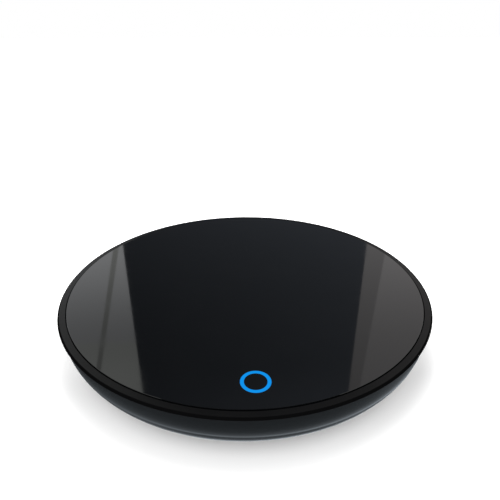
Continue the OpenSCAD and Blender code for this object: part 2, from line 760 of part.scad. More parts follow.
// bar with an arch over the cord
module cord_clamp() color([0.15, 0.15, 0.15]) difference() {
  union() {
    block([-clamp_half, clamp_y, bar_bot], [clamp_half, clamp_y + clamp_len, bar_bot + bar_t]);
    intersection() {
      translate([0, clamp_y, cord_z]) rotate([-90, 0, 0]) cylinder(r = gland_bore + 1.2, h = clamp_len);
      block([-clamp_half, 0, bar_bot], [clamp_half, body_r, through]);
    }
  }
  translate([0, clamp_y - 1, cord_z]) rotate([-90, 0, 0]) cylinder(r = gland_bore, h = clamp_len + 2);
  for (s = [-1, 1]) translate([s * clamp_screw_x, clamp_y + clamp_len / 2, 0])
    disc(screw_d / 2 + 0.2, 0, through);
}

module cord_clamp_screws() color([0.75, 0.75, 0.76])
  for (s = [-1, 1]) translate([s * clamp_screw_x, clamp_y + clamp_len / 2, 0])
    screw_down(bar_bot + bar_t, bar_bot + bar_t - floor_top, screw_d, head_d - 0.6, head_h);

// ---------- the electronics ----------

module control_board() color([0.12, 0.38, 0.22]) difference() {
  translate([board_x0, board_y0, board_bot]) round_plate(board_l, board_w, 2, board_t);
  for (p = board_holes) translate(p) disc(screw_d / 2 + 0.2, 0, through);
}

module board_screws() color([0.75, 0.75, 0.76])
  for (p = board_holes) translate(p)
    screw_down(board_top, board_top - floor_top + 0.2, screw_d, head_d, head_h);

module switch_housing() color([0.12, 0.12, 0.12]) difference() {
  translate([switch_x - switch_w / 2, -switch_w / 2, board_top])
    round_plate(switch_w, switch_w, 0.6, switch_h);
  translate([switch_x, 0, 0])
    disc(plunger_d / 2 + plunger_clear, plunger_top - plunger_l - travel - 0.2, through);
}

module switch_terminals() color([0.82, 0.82, 0.84])
  for (sx = [-1, 1], sy = [-1, 1])
    translate([switch_x + sx * (switch_w + terminal[0]) / 2, sy * (switch_w / 2 - 0.8), board_top])
      translate([-terminal[0] / 2, -terminal[1] / 2, 0]) cube(terminal);

// a child placed on the board, from the board's corner
module on_board(at) {
  translate([board_x0 + at[0], board_y0 + at[1], board_top]) children();
}

module controller_chip() color([0.1, 0.1, 0.11]) on_board(chip_at) {
  translate([0, 0, 0.15]) cube(chip_size);
  for (i = [0:7], y = [-chip_lead[1], chip_size[1]])
    translate([chip_lead[0] + i * chip_pitch, y, 0]) cube(chip_lead);
}

// power device lying flat on its tab
module triac() color([0.15, 0.15, 0.16]) on_board(triac_at) {
  cube(triac_size);
  translate([triac_size[0] - 0.1, 0, 0]) cube(triac_tab);
  for (i = [-1:1]) translate([0.1 - triac_lead[0], (triac_size[1] - triac_lead[1]) / 2 + i * 2.7, 0])
    cube(triac_lead);
}

module filter_capacitor() color([0.16, 0.2, 0.32])
  on_board(cap_at) translate([0, 0, cap_d / 2]) rotate([0, 90, 0]) {
    cylinder(d = cap_d, h = cap_l);
    for (s = [-1, 1]) translate([cap_d / 2 - 0.3, s, -1.5]) cylinder(d = lead_d, h = 1.6);
  }

module bridge_rectifier() color([0.12, 0.12, 0.12]) on_board(bridge_at) {
  translate([0, 0, 0.2]) cube(bridge_size);
  for (x = [0.6, bridge_size[0] - 1.4], y = [-bridge_lead[1], bridge_size[1]])
    translate([x, y, 0]) cube(bridge_lead);
}

module resistors() color([0.55, 0.68, 0.8]) for (i = [0:3])
  on_board(res_at + [i * res_pitch, 0]) translate([0, 0, res_d / 2]) rotate([0, 90, 90]) {
    cylinder(d = res_d, h = res_l);
    translate([0, 0, -1]) cylinder(d = lead_d, h = res_l + 2);
  }

// shrouded two-pin headers
module wire_headers() color([0.9, 0.88, 0.8]) for (y = header_y)
  translate([header_x, board_y0 + y, board_top]) {
    difference() {
      cube(header_size);
      translate([0.8, 0.8, 1]) cube(header_size - [1.6, 1.6, 0]);
    }
    for (s = [-1, 1]) translate([(header_size[0] - pin[0]) / 2 + s * 1.1, (header_size[1] - pin[1]) / 2, 0.9])
      cube(pin);
  }

// ---------- the object ----------

glass_plate();
touch_ring();
glass_bond();
heat_spreader();
mica_upper();
heating_ribbon();
mica_lower();
insulation_pad();
clamp_plate();
clamp_screws();
heater_terminals();
thermal_fuse();
fuse_clip();
temperature_sensor();
plate_carrier();
guide_screws();
guide_washers();
light_guide();
led_board();
led_lamps();
touch_electrode();
led_board_screws();
plate_springs();
switch_plunger();
base_housing();
bezel_ring();
bezel_screws();
rubber_feet();
cord_gland();
cord_clamp();
cord_clamp_screws();
control_board();
board_screws();
switch_housing();
switch_terminals();
controller_chip();
triac();
filter_capacitor();
bridge_rectifier();
resistors();
wire_headers();
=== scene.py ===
import math

import bmesh
import bpy
import numpy as np
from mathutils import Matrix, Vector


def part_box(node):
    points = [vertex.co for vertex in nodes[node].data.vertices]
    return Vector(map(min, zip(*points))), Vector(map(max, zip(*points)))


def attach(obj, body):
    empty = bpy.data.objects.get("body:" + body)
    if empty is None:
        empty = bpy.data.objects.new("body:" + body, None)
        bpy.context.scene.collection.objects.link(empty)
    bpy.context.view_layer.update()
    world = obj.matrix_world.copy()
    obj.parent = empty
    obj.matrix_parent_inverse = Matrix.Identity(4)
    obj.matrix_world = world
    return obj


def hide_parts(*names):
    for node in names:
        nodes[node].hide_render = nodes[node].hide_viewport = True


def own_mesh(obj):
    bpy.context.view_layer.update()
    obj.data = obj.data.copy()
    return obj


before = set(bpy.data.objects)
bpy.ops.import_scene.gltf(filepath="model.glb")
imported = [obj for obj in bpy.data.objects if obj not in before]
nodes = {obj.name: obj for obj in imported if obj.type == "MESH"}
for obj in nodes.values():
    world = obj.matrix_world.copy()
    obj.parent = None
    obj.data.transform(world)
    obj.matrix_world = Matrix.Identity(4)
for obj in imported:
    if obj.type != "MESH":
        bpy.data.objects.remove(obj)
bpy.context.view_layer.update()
mm = 0.001
print("frame loaded:", len(nodes), "nodes")


# outlines and closed solids, as numpy arrays in millimetres

def arc(cx, cz, r, startAngle, endAngle, steps):
    # points on a circle, from one angle to the other: centre + r * (cos a, sin a)
    a = np.radians(np.linspace(startAngle, endAngle, steps + 1))
    return np.column_stack([cx + r * np.cos(a), cz + r * np.sin(a)])


def softened(outline, radii, steps=4):
    # each corner of a closed outline gives way to an arc that touches both of its sides;
    # the run along a side is radius / tan(half the corner's angle), at most longestRun of it
    longestRun, widestHalf = 0.45, 1.5
    p = np.asarray(outline, float)
    wanted = np.broadcast_to(np.asarray(radii, float), len(p))
    back, ahead = np.roll(p, 1, 0) - p, np.roll(p, -1, 0) - p
    backLength, aheadLength = np.linalg.norm(back, axis=1), np.linalg.norm(ahead, axis=1)
    u, v = back / backLength[:, None], ahead / aheadLength[:, None]
    half = np.arccos(np.clip((u * v).sum(1), -1, 1)) / 2
    turning = np.tan(np.minimum(half, widestHalf))
    run = np.minimum(wanted / turning, longestRun * np.minimum(backLength, aheadLength))
    r = run * turning
    inward = u + v
    inward /= np.maximum(np.linalg.norm(inward, axis=1), 1e-9)[:, None]
    middle = p + inward * (r / np.sin(half))[:, None]
    first, last = p + u * run[:, None] - middle, p + v * run[:, None] - middle
    sweep = np.maximum(math.pi - 2 * half, 1e-6)[:, None]
    t = np.linspace(0, 1, steps + 1)[None, :]
    near, far = np.sin((1 - t) * sweep) / np.sin(sweep), np.sin(t * sweep) / np.sin(sweep)
    bent = middle[:, None] + near[:, :, None] * first[:, None] + far[:, :, None] * last[:, None]
    bent = np.where((wanted > 0)[:, None, None], bent, p[:, None])
    flat = bent.reshape(-1, 2)
    apart = np.linalg.norm(flat - np.roll(flat, 1, 0), axis=1) > 1e-6
    return flat[apart]


def gridFaces(rows, columns, rowsClose=True):
    # the quads of a grid of points; each row closes on itself, and the last row may meet the first
    i = np.arange(rows if rowsClose else rows - 1)[:, None]
    j = np.arange(columns)[None, :]
    nextI, nextJ = (i + 1) % rows, (j + 1) % columns
    quads = [i * columns + j, nextI * columns + j, nextI * columns + nextJ, i * columns + nextJ]
    return np.stack([q + 0 * (i + j) for q in quads], -1).reshape(-1, 4)


def turned(outline, turns=96):
    # a closed (r, z) outline goes round the Z axis: x = r cos a, y = r sin a
    o = np.asarray(outline, float)
    a = np.linspace(0, 2 * math.pi, turns, endpoint=False)[:, None]
    points = np.stack([np.cos(a) * o[:, 0], np.sin(a) * o[:, 0], 0 * a + o[:, 1]], -1)
    return points.reshape(-1, 3), gridFaces(turns, len(o))


def rod(r, z0, z1, turns=64):
    return turned([(0, z0), (r, z0), (r, z1), (0, z1)], turns)


def tube(outer, inner, z0, z1, turns=96):
    return turned([(inner, z0), (outer, z0), (outer, z1), (inner, z1)], turns)


def brick(low, high):
    corners = np.array([(i, j, k) for k in (0, 1) for j in (0, 1) for i in (0, 1)], float)
    points = np.asarray(low, float) + corners * (np.asarray(high, float) - np.asarray(low, float))
    sides = [(0, 1, 3, 2), (4, 5, 7, 6), (0, 1, 5, 4), (2, 3, 7, 6), (0, 2, 6, 4), (1, 3, 7, 5)]
    return points, np.array(sides)


def prism(rim, z0, z1):
    # a closed outline in plan goes straight up; both ends close to the outline's middle
    middle = rim.mean(0)
    n = len(rim)
    levels = [np.column_stack([middle + (rim - middle) * share, np.full(n, z)]) for z, share in
              ((z0, 0), (z0, 1), (z1, 1), (z1, 0))]
    return np.vstack(levels), gridFaces(4, n, rowsClose=False)


def slotBlock(length, width, z0, z1, steps=12):
    # a slot with round ends along X: two half circles joined by straight sides
    reach = (length - width) / 2
    rim = np.vstack([arc(reach, 0, width / 2, -90, 90, steps), arc(-reach, 0, width / 2, 90, 270, steps)])
    return prism(rim, z0, z1)


def placed(solid, move=(0, 0, 0), turn=0):
    # turned about Z first, then moved
    c, s = math.cos(math.radians(turn)), math.sin(math.radians(turn))
    spin = np.array([(c, -s, 0), (s, c, 0), (0, 0, 1)])
    return solid[0] @ spin.T + np.asarray(move, float), solid[1]


def lyingAlongY(solid, z):
    # what stood along Z then points along +Y, at height z
    x, y, up = solid[0].T
    return np.column_stack([x, up, z - y]), solid[1]


def around(solid, r, angles):
    # copies at radius r, one at each angle
    return [placed(placed(solid, (r, 0, 0)), turn=a) for a in angles]


def together(solids):
    starts = np.cumsum([0] + [len(points) for points, quads in solids[:-1]])
    return (np.vstack([points for points, quads in solids]),
            np.vstack([quads + start for (points, quads), start in zip(solids, starts)]))


# from arrays to Blender objects

def makeObject(name, solid):
    points, quads = solid
    mesh = bpy.data.meshes.new(name)
    mesh.vertices.add(len(points))
    mesh.vertices.foreach_set("co", (points * mm).astype(np.float32).ravel())
    mesh.loops.add(quads.size)
    mesh.loops.foreach_set("vertex_index", quads.astype(np.int32).ravel())
    mesh.polygons.add(len(quads))
    mesh.polygons.foreach_set("loop_start", np.arange(0, quads.size, 4, dtype=np.int32))
    mesh.update(calc_edges=True)
    work = bmesh.new()
    work.from_mesh(mesh)
    bmesh.ops.remove_doubles(work, verts=work.verts, dist=1e-7)
    bmesh.ops.dissolve_degenerate(work, dist=1e-8, edges=work.edges)
    bmesh.ops.recalc_face_normals(work, faces=work.faces)
    work.to_mesh(mesh)
    work.free()
    made = bpy.data.objects.new(name, mesh)
    bpy.context.scene.collection.objects.link(made)
    return made


def carve(body, operation, solids):
    # one boolean with separate closed solids, worked into the mesh at once
    tool = makeObject("tool", together(solids))
    step = body.modifiers.new("carve", "BOOLEAN")
    step.solver = "MANIFOLD"
    step.operation = operation
    step.object = tool
    graph = bpy.context.evaluated_depsgraph_get()
    result = bpy.data.meshes.new_from_object(body.evaluated_get(graph))
    body.modifiers.clear()
    old, body.data = body.data, result
    result.name = body.name
    bpy.data.meshes.remove(old)
    bpy.data.meshes.remove(tool.data)


def dress(obj, body, material, replaced, creaseAngle=32):
    # smooth shading that keeps its creases, then the finish and the place in the frame
    mesh = obj.data
    work = bmesh.new()
    work.from_mesh(mesh)
    for face in work.faces:
        face.smooth = True
    for edge in work.edges:
        edge.smooth = edge.calc_face_angle(0) < math.radians(creaseAngle)
    work.to_mesh(mesh)
    work.free()
    even = obj.modifiers.new("even shading", "WEIGHTED_NORMAL")
    even.keep_sharp = True
    mesh.materials.clear()
    mesh.materials.append(material)
    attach(obj, body)
    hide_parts(*replaced)


# materials

# a socket of a material; arithmetic on it adds Math nodes
class Wire:
    def __init__(self, finish, socket):
        self.finish = finish
        self.socket = socket

    def maths(self, operation, *values):
        return self.finish.node("ShaderNodeMath", {"operation": operation}, dict(enumerate(values)))

    def __add__(self, other):
        return self.maths("ADD", self, other)

    def __sub__(self, other):
        return self.maths("SUBTRACT", self, other)

    def __rsub__(self, other):
        return self.maths("SUBTRACT", other, self)

    def __mul__(self, other):
        return self.maths("MULTIPLY", self, other)

    def __truediv__(self, other):
        return self.maths("DIVIDE", self, other)

    def __pow__(self, other):
        return self.maths("POWER", self, other)

    def __gt__(self, other):
        return self.maths("GREATER_THAN", self, other)

    def __lt__(self, other):
        return self.maths("LESS_THAN", self, other)

    __radd__ = __add__
    __rmul__ = __mul__

    def sine(self):
        return self.maths("SINE", self)

    def size(self):
        return self.maths("ABSOLUTE", self)

    def ramp(self, low, high):
        # 0 below low, 1 above high, smooth in between
        return self.finish.node("ShaderNodeMapRange", {"interpolation_type": "SMOOTHSTEP"},
                                {"Value": self, "From Min": low, "From Max": high})


# a node tree of a material or of the world, with short ways to add to it
class Finish:
    def __init__(self, name, owner=None):
        self.owner = owner or bpy.data.materials.new(name)
        self.owner.use_nodes = True
        self.tree = self.owner.node_tree
        self.shader = self.tree.nodes.get("Principled BSDF") or self.tree.nodes.get("Background")

    def node(self, kind, settings=None, inputs=None, out=0):
        made = self.tree.nodes.new(kind)
        for key, value in (settings or {}).items():
            setattr(made, key, value)
        for key, value in (inputs or {}).items():
            self.feed(made.inputs[key], value)
        return Wire(self, made.outputs[out])

    def feed(self, socket, value):
        if isinstance(value, Wire):
            self.tree.links.new(value.socket, socket)
        else:
            socket.default_value = value

    def show(self, shader):
        # this shader is what the surface shows
        self.tree.links.new(shader.socket, self.tree.nodes["Material Output"].inputs["Surface"])
        return self

    def set(self, **sockets):
        # Base_Color=... goes to the shader's socket of that name
        for key, value in sockets.items():
            self.feed(self.shader.inputs[key.replace("_", " ")], value)
        return self

    def place(self, scale=(1, 1, 1), centre=(0, 0, 0)):
        # Object coordinates, centred first and then stretched
        here = self.node("ShaderNodeTexCoord", out="Object")
        at = self.node("ShaderNodeMapping", {"vector_type": "POINT"},
                       {"Vector": here, "Location": tuple(-c for c in centre)})
        return self.node("ShaderNodeMapping", {"vector_type": "POINT"}, {"Vector": at, "Scale": scale})

    def parts(self, vector):
        # the three numbers of a vector
        split = self.tree.nodes.new("ShaderNodeSeparateXYZ")
        self.feed(split.inputs[0], vector)
        return [Wire(self, out) for out in split.outputs]

    def axes(self, centre=(0, 0, 0)):
        return self.parts(self.place(centre=centre))

    def fromAxis(self, centre=(0, 0, 0)):
        # mm from the upright line through centre
        x, y = self.axes(centre)[:2]
        return (x * x + y * y) ** 0.5 / mm

    def noise(self, grain, detail=2.0, rough=0.5, stretch=(1, 1, 1), seed=0.0):
        # cloudy noise whose blotches are about grain metres across
        return self.node("ShaderNodeTexNoise", {"noise_dimensions": "3D"},
                         {"Vector": self.place(stretch, centre=(seed, seed, seed)), "Scale": 1 / grain,
                          "Detail": detail, "Roughness": rough})

    def cells(self, grain, stretch=(1, 1, 1)):
        # round pits about grain metres across
        return self.node("ShaderNodeTexVoronoi", {"feature": "F1"},
                         {"Vector": self.place(stretch), "Scale": 1 / grain})

    def between(self, amount, first, second):
        # colour from first to second as amount goes from 0 to 1
        return self.node("ShaderNodeMix", {"data_type": "RGBA"},
                         {0: amount, 6: rgba(first), 7: rgba(second)}, out=2)

    def bump(self, height, depth):
        # height from 0 to 1 lifts the surface by up to depth metres
        return self.node("ShaderNodeBump", None, {"Height": height, "Distance": depth, "Strength": 1.0})


def rgba(colour):
    return colour if isinstance(colour, Wire) or len(colour) == 4 else (*colour, 1.0)


def shade(share, colour):
    return tuple(share * c for c in colour)


dust = {
    "colour": (0.32, 0.31, 0.29),
    "patchGrain": 0.012,
    "patchShare": 0.35,
    "speckGrain": 0.0006,
    "steepest": 0.2,      # upward part of the normal below which none lies
}


def dustOn(finish, base, amount):
    # a little pale dust in soft patches, thicker where the surface looks up
    patches = finish.noise(dust["patchGrain"], 4, 0.6, seed=0.3).ramp(0.42, 0.75)
    specks = finish.noise(dust["speckGrain"], 2, 0.6, seed=0.7).ramp(0.66, 0.74)
    upward = finish.parts(finish.node("ShaderNodeNewGeometry", out="Normal"))[2]
    lies = (patches * dust["patchShare"] + specks) * upward.ramp(dust["steepest"], 1.0)
    return finish.between(lies * amount, base, dust["colour"])


# injection-moulded plastics and rubbers: base colour, roughness, grain of the tool's
# spark-eroded skin and its depth, and how much dust lies on them
mouldedLooks = {
    "matte_black": dict(colour=(0.0026, 0.0026, 0.0027), rough=0.32, grain=0.00022, depth=0.000006,
                        dust=0.006, ior=1.20),
    "satin_black": dict(colour=(0.0016, 0.0021, 0.0024), rough=0.12, grain=0.00035, depth=0.0000008,
                        dust=0.003, ior=1.40),
    "carrier_black": dict(colour=(0.016, 0.016, 0.017), rough=0.56, grain=0.00040, depth=0.000014,
                          dust=0.03, ior=1.50),
    "black_rubber": dict(colour=(0.014, 0.014, 0.014), rough=0.72, grain=0.00030, depth=0.000016,
                         dust=0.10, ior=1.45),
    "silicone_grey": dict(colour=(0.44, 0.44, 0.42), rough=0.48, grain=0.0012, depth=0.000060,
                          dust=0.0, ior=1.41),
    "button_red": dict(colour=(0.55, 0.035, 0.02), rough=0.38, grain=0.00030, depth=0.000008,
                       dust=0.02, ior=1.48),
    "chip_black": dict(colour=(0.022, 0.022, 0.024), rough=0.60, grain=0.00012, depth=0.000008,
                       dust=0.02, ior=1.50),
    "nylon_cream": dict(colour=(0.62, 0.58, 0.46), rough=0.42, grain=0.00040, depth=0.000008,
                        dust=0.02, ior=1.50),
    "sleeve_blue": dict(colour=(0.022, 0.035, 0.10), rough=0.30, grain=0.00050, depth=0.000006,
                        dust=0.02, ior=1.48),
}


def moulded(name):
    look = mouldedLooks[name]
    colourDrift, roughDrift, pitGrain, pitShare = 0.08, 0.04, 1.7, 0.3
    made = Finish(name)
    drift = made.noise(0.018, 3, 0.5)
    colour = made.between(drift.ramp(0.3, 0.7), shade(1 - colourDrift, look["colour"]),
                          shade(1 + colourDrift, look["colour"]))
    if look["dust"]:
        colour = dustOn(made, colour, look["dust"])
    skin = made.noise(look["grain"], 3, 0.65)
    pits = made.cells(look["grain"] * pitGrain)
    made.set(Base_Color=colour, IOR=look["ior"],
             Roughness=look["rough"] - roughDrift + 2 * roughDrift * drift,
             Normal=made.bump(skin * (1 - pitShare) + pits * pitShare, look["depth"]))
    return made


# painted shade for the bezel's bevel: a darker, rougher copy of its finish
shadedBevel = {
    "colour": (0.0018, 0.0018, 0.0019),
    "rough": 0.9,
    "ior": 1.05,
    "blendOut": (-0.05, 0.05),     # mm round its inner edge
    "blendUp": (-0.15, 0.05),      # mm round its lower edge
}


def darkEdged(made, r, low):
    # painted shade: the bevel, beyond r mm from the axis and above low, gets a darker, rougher copy of the
    # finish that takes little light, a black shadow line round the edge
    look = shadedBevel
    height = made.axes()[2] / mm
    outward, upward = ([at + step for step in look[key]] for at, key in ((r, "blendOut"), (low, "blendUp")))
    edge = made.fromAxis().ramp(*outward) * height.ramp(*upward)
    shadedCopy = made.node("ShaderNodeBsdfPrincipled", None,
                       {"Base Color": rgba(look["colour"]), "Roughness": look["rough"], "IOR": look["ior"]})
    both = made.node("ShaderNodeMixShader", None, {0: edge, 1: Wire(made, made.shader.outputs[0]), 2: shadedCopy})
    return made.show(both)


tin = (0.76, 0.77, 0.78)


def leaded(made, name, axis, before, after=0.0):
    # tinned metal past the body's two ends: before and after are the leads' lengths in mm
    low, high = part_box(name)
    along = made.axes()[axis]
    lead = (along < low[axis] + before * mm) + (along > high[axis] - after * mm)
    body = Wire(made, made.shader.inputs["Base Color"].links[0].from_socket)
    made.owner.name += "_" + name
    return made.set(Base_Color=made.between(lead, body, tin), Metallic=lead)


# metals: colour, roughness, and the direction and depth of their fine marks
metalLooks = {
    "aluminium": dict(colour=(0.83, 0.84, 0.85), rough=0.30, stretch=(1, 0.03, 1), depth=0.000004),
    "ribbon_alloy": dict(colour=(0.42, 0.40, 0.37), rough=0.38, stretch=(1, 1, 1), depth=0.000006),
    "pressed_steel": dict(colour=(0.60, 0.61, 0.62), rough=0.34, stretch=(0.04, 1, 1), depth=0.000006),
    "zinc_screw": dict(colour=(0.66, 0.67, 0.70), rough=0.28, stretch=(1, 1, 0.2), depth=0.000004),
    "black_screw": dict(colour=(0.045, 0.045, 0.048), rough=0.42, stretch=(1, 1, 1), depth=0.000005),
    "brass_tab": dict(colour=(0.72, 0.54, 0.24), rough=0.30, stretch=(1, 1, 0.1), depth=0.000004),
    "fuse_can": dict(colour=(0.74, 0.71, 0.64), rough=0.26, stretch=(0.05, 1, 1), depth=0.000003),
    "spring_steel": dict(colour=(0.50, 0.51, 0.53), rough=0.24, stretch=(1, 1, 6), depth=0.000003),
    "tinned_leads": dict(colour=tin, rough=0.32, stretch=(1, 1, 1), depth=0.000005),
}


def metal(name):
    look = metalLooks[name]
    markRough, bloomRough, bloomShade = 0.1, 0.08, 0.86
    made = Finish(name)
    marks = made.noise(0.00025, 4, 0.7, look["stretch"])
    bloom = made.noise(0.006, 3, 0.55, seed=0.2).ramp(0.35, 0.75)
    made.set(Metallic=1.0,
             Base_Color=made.between(bloom, look["colour"], shade(bloomShade, look["colour"])),
             Roughness=look["rough"] - markRough / 2 + markRough * marks + bloomRough * bloom,
             Normal=made.bump(marks, look["depth"]))
    return made


def blackGlass():
    # polished glass over black enamel: almost a mirror, with the faintest dust and wiping marks
    made = Finish("black_glass")
    smears = made.noise(0.020, 3, 0.55, stretch=(1, 2.2, 1), seed=0.4).ramp(0.45, 0.8)
    wave = made.noise(0.045, 1, 0.4)
    made.set(Base_Color=dustOn(made, (0.0012, 0.0014, 0.0016), 0.004), IOR=1.50,
             Roughness=0.035 + 0.03 * smears, Normal=made.bump(wave, 0.0000012))
    return made


def litBlue():
    # lit print: even blue light with a slightly deeper edge
    made = Finish("lit_blue")
    r = made.fromAxis((0, -touchRing["fromCentre"] * mm, 0))
    halfLine = touchRing["lineWidth"] / 2
    middle = touchRing["outerDiameter"] / 2 - halfLine
    edge = ((r - middle).size() / halfLine).ramp(0.55, 1.0)
    made.set(Base_Color=(0.0, 0.010, 0.03, 1), Roughness=0.06, IOR=1.32,
             Emission_Color=made.between(edge, (0.0015, 0.282, 0.815), (0.006, 0.23, 0.68)),
             Emission_Strength=1.0)
    return made


def mica():
    # split sheets of mica: golden brown flakes that shine differently
    made = Finish("mica")
    flakes = made.cells(0.0022, stretch=(1, 1, 3))
    veins = made.noise(0.004, 5, 0.65)
    made.set(Base_Color=made.between(veins.ramp(0.35, 0.7), (0.46, 0.34, 0.17), (0.25, 0.17, 0.08)),
             Roughness=0.30 + 0.2 * flakes, Normal=made.bump(flakes, 0.00004))
    return made


def ceramicFibre():
    # pressed white fibre pad
    made = Finish("ceramic_fibre")
    strands = made.noise(0.0006, 6, 0.75, stretch=(1, 4, 1))
    cross = made.noise(0.0006, 6, 0.75, stretch=(4, 1, 1), seed=0.1)
    felt = strands * 0.5 + cross * 0.5
    made.set(Base_Color=made.between(felt.ramp(0.35, 0.65), (0.70, 0.68, 0.62), (0.86, 0.85, 0.81)),
             Roughness=0.92, Normal=made.bump(felt, 0.00018))
    return made


def boardGreen():
    # solder mask over copper tracks, which run one way in some fields and the other way in
    # others, and show where abs(sin(x / pitch + bend)) is over slimness
    made = Finish("board_green")
    x, y = made.axes()[:2]
    pitch, slimness = 2.2 * mm, 0.80
    bend = made.noise(0.009, 0, 0.5).ramp(0.3, 0.7) * 1.5
    fieldX = made.noise(0.007, 0, 0.5, (0.3, 2, 1)) > 0.5
    fieldY = made.noise(0.007, 0, 0.5, (2, 0.3, 1)) < 0.5
    track = (((x / pitch + bend).sine().size() > slimness) * fieldX
             + ((y / pitch + bend).sine().size() > slimness) * fieldY).ramp(0.2, 0.8)
    weave = made.noise(0.0005, 2, 0.5)
    made.set(Base_Color=made.between(track, (0.012, 0.075, 0.032), (0.035, 0.16, 0.060)),
             Roughness=0.28 + 0.12 * weave, IOR=1.5, Normal=made.bump(track * 0.6 + weave * 0.2, 0.00003))
    return made


def clearGuide():
    # frosted acrylic
    made = Finish("clear_guide")
    frost = made.noise(0.0004, 2, 0.5)
    made.set(Base_Color=made.between(frost, (0.74, 0.80, 0.84), (0.86, 0.90, 0.93)),
             Roughness=0.30 + 0.15 * frost, IOR=1.49, Normal=made.bump(frost, 0.00001))
    made.shader.inputs["Transmission Weight"].default_value = 0.35
    return made


def lampWhite():
    # white lamp bodies with a yellow phosphor window on top
    made = Finish("lamp_white")
    windowDepth = 0.05 * mm
    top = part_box("led_lamps")[1].z - windowDepth
    window = (made.axes()[2] > top) * (made.noise(0.0008, 1, 0.5) > 0.42)
    made.set(Base_Color=made.between(window, (0.82, 0.82, 0.78), (0.80, 0.66, 0.16)), Roughness=0.35)
    return made


def epoxyBrown():
    made = Finish("epoxy_brown")
    runs = made.noise(0.0012, 3, 0.5)
    made.set(Base_Color=made.between(runs, (0.055, 0.032, 0.018), (0.11, 0.062, 0.03)),
             Roughness=0.22 + 0.1 * runs, Coat_Weight=0.4, Normal=made.bump(runs, 0.00006))
    return made


def resistorBlue():
    # pale blue lacquer with plain colour bands round the body and tinned leads
    made = Finish("resistor_blue")
    bodyLength, leadLength, bandPhase, bandMargin = 5 * mm, 1 * mm, 18, 0.12
    along = (made.axes()[1] - (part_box("resistors")[0].y + leadLength)) / bodyLength
    dark = ((along * bandPhase).sine() > 0.55) * (along > bandMargin) * (along < 1 - bandMargin)
    lead = (along < 0.0) + (along > 1.0)
    lacquer = made.between(dark, (0.20, 0.42, 0.55), (0.05, 0.02, 0.012))
    made.set(Base_Color=made.between(lead, lacquer, tin), Metallic=lead,
             Roughness=0.30 + 0.08 * made.noise(0.001))
    return made


# the scene's own floor, light and camera

view = {
    "cameraFromAxis": 146.2,   # mm, level distance from the plate's axis
    "cameraSide": 2.83,        # degrees to the left of the user's side
    "cameraAbovePlate": 85.2,  # mm
    "lookDown": 26.19,         # degrees
    "lookRight": 0.648,        # degrees, off the axis
    "lens": 33.01,
}

studio = {
    "floorSize": 8.0,
    "floorWhite": 0.94,
    "floorGain": 0.90,             # the camera sees the floor this much brighter
    "floorClears": (66.5, 86.0),   # from here to there the floor goes to plain white, in mm
    "clearsRound": 6.0,            # from a point this far behind the plate's axis, in mm
    "behindLift": 0.30,            # and the shadow behind the plate is this much lighter
    "behindStarts": (-40.0, -12.0),
    "skyLevel": 0.25,
    "lampPlace": (-0.15, -1.1, 0.95),
    "lampSize": 2.3,
    "lampPower": 46.0,
    "cardDistance": 1.5,
}

# upright cards far behind the plate, in metres: where they begin and end along X and in height,
# how far they have leaned along X at the top, how bright their two edges are, the two heights
# over which that brightness changes from low to high, how much nearer than the others they
# stand, and their tint
cards = {
    "left_card": dict(begins=-2.4, ends=-0.406, heights=(0, 1.176), left=1.16, right=1.0,
                      over=(0.75, 1.15), low=1.25, high=0.85, tint=(0.985, 1.0, 1.02)),
    "left_upper_card": dict(begins=-2.4, ends=-0.406, heights=(1.176, 2.4), left=1.08, right=1.0,
                            over=(1.18, 1.42), low=0.89, high=1.12, tint=(0.97, 1.0, 0.96)),
    "streak_card": dict(begins=-0.427, ends=-0.406, heights=(0.66, 2.4), lean=-0.445, left=1.0, right=1.0,
                        over=(0.75, 1.15), low=0.76, high=0.56, nearer=0.01, tint=(0.98, 1.0, 0.96)),
    "dark_card": dict(begins=-0.406, ends=0.567, heights=(0, 2.4), left=0.08, right=0.165,
                      over=(1.3, 1.6), low=1.0, high=1.35, tint=(0.91, 1.0, 1.17)),
    "grey_card": dict(begins=0.567, ends=0.680, heights=(0, 2.4), left=0.62, right=0.62,
                      over=(0.75, 1.25), low=1.04, high=0.97, tint=(1.03, 0.995, 1.0)),
    "pale_card": dict(begins=0.677, ends=2.400, heights=(0, 2.4), lean=-0.095, left=0.82, right=0.74,
                      over=(0.75, 1.25), low=1.12, high=0.97, nearer=0.005, tint=(1.03, 0.995, 1.0)),
}

# a dark card leans over the camera, for what faces the user: Y and Z of its two edges, in metres
overCamera = {
    "halfWidth": 0.9,
    "foot": (-0.9, 0.35),
    "head": (-0.35, 1.6),
    "strength": 0.02,
    "tint": (0.9, 1.0, 1.1),
}

# painted reflection: a glowing card on the floor, which only reflections see, painted with what the bowl
# reflects of the floor. Radii are mm from the plate's axis, and light is a share of white: pale at the foot
# of the bowl, a painted shadow under the overhang, a painted highlight line where the overhang ends, then the
# open floor
pool = {
    "radius": 500,
    "sides": 96,
    "aboveFloor": 0.25,
    "foot": 0.75,
    "footFades": (55.5, 60.5),
    "under": 0.19,
    "underEnds": (62.2, 63.2),
    "line": 0.60,
    "lineFades": (63.3, 64.7),
    "glow": 0.22,
    "glowFades": (64.0, 69.5),
    "open": 0.12,
    "turnedTo": 12.0,         # degrees from the user's side to the brightest side
    "narrowness": 4.5,        # of the line, the glow and the pale foot round that side
    "back": 0.36,             # share of the light on the far side
    "backFades": (0.1, 0.95),
    "tint": (0.90, 1.0, 1.09),
}


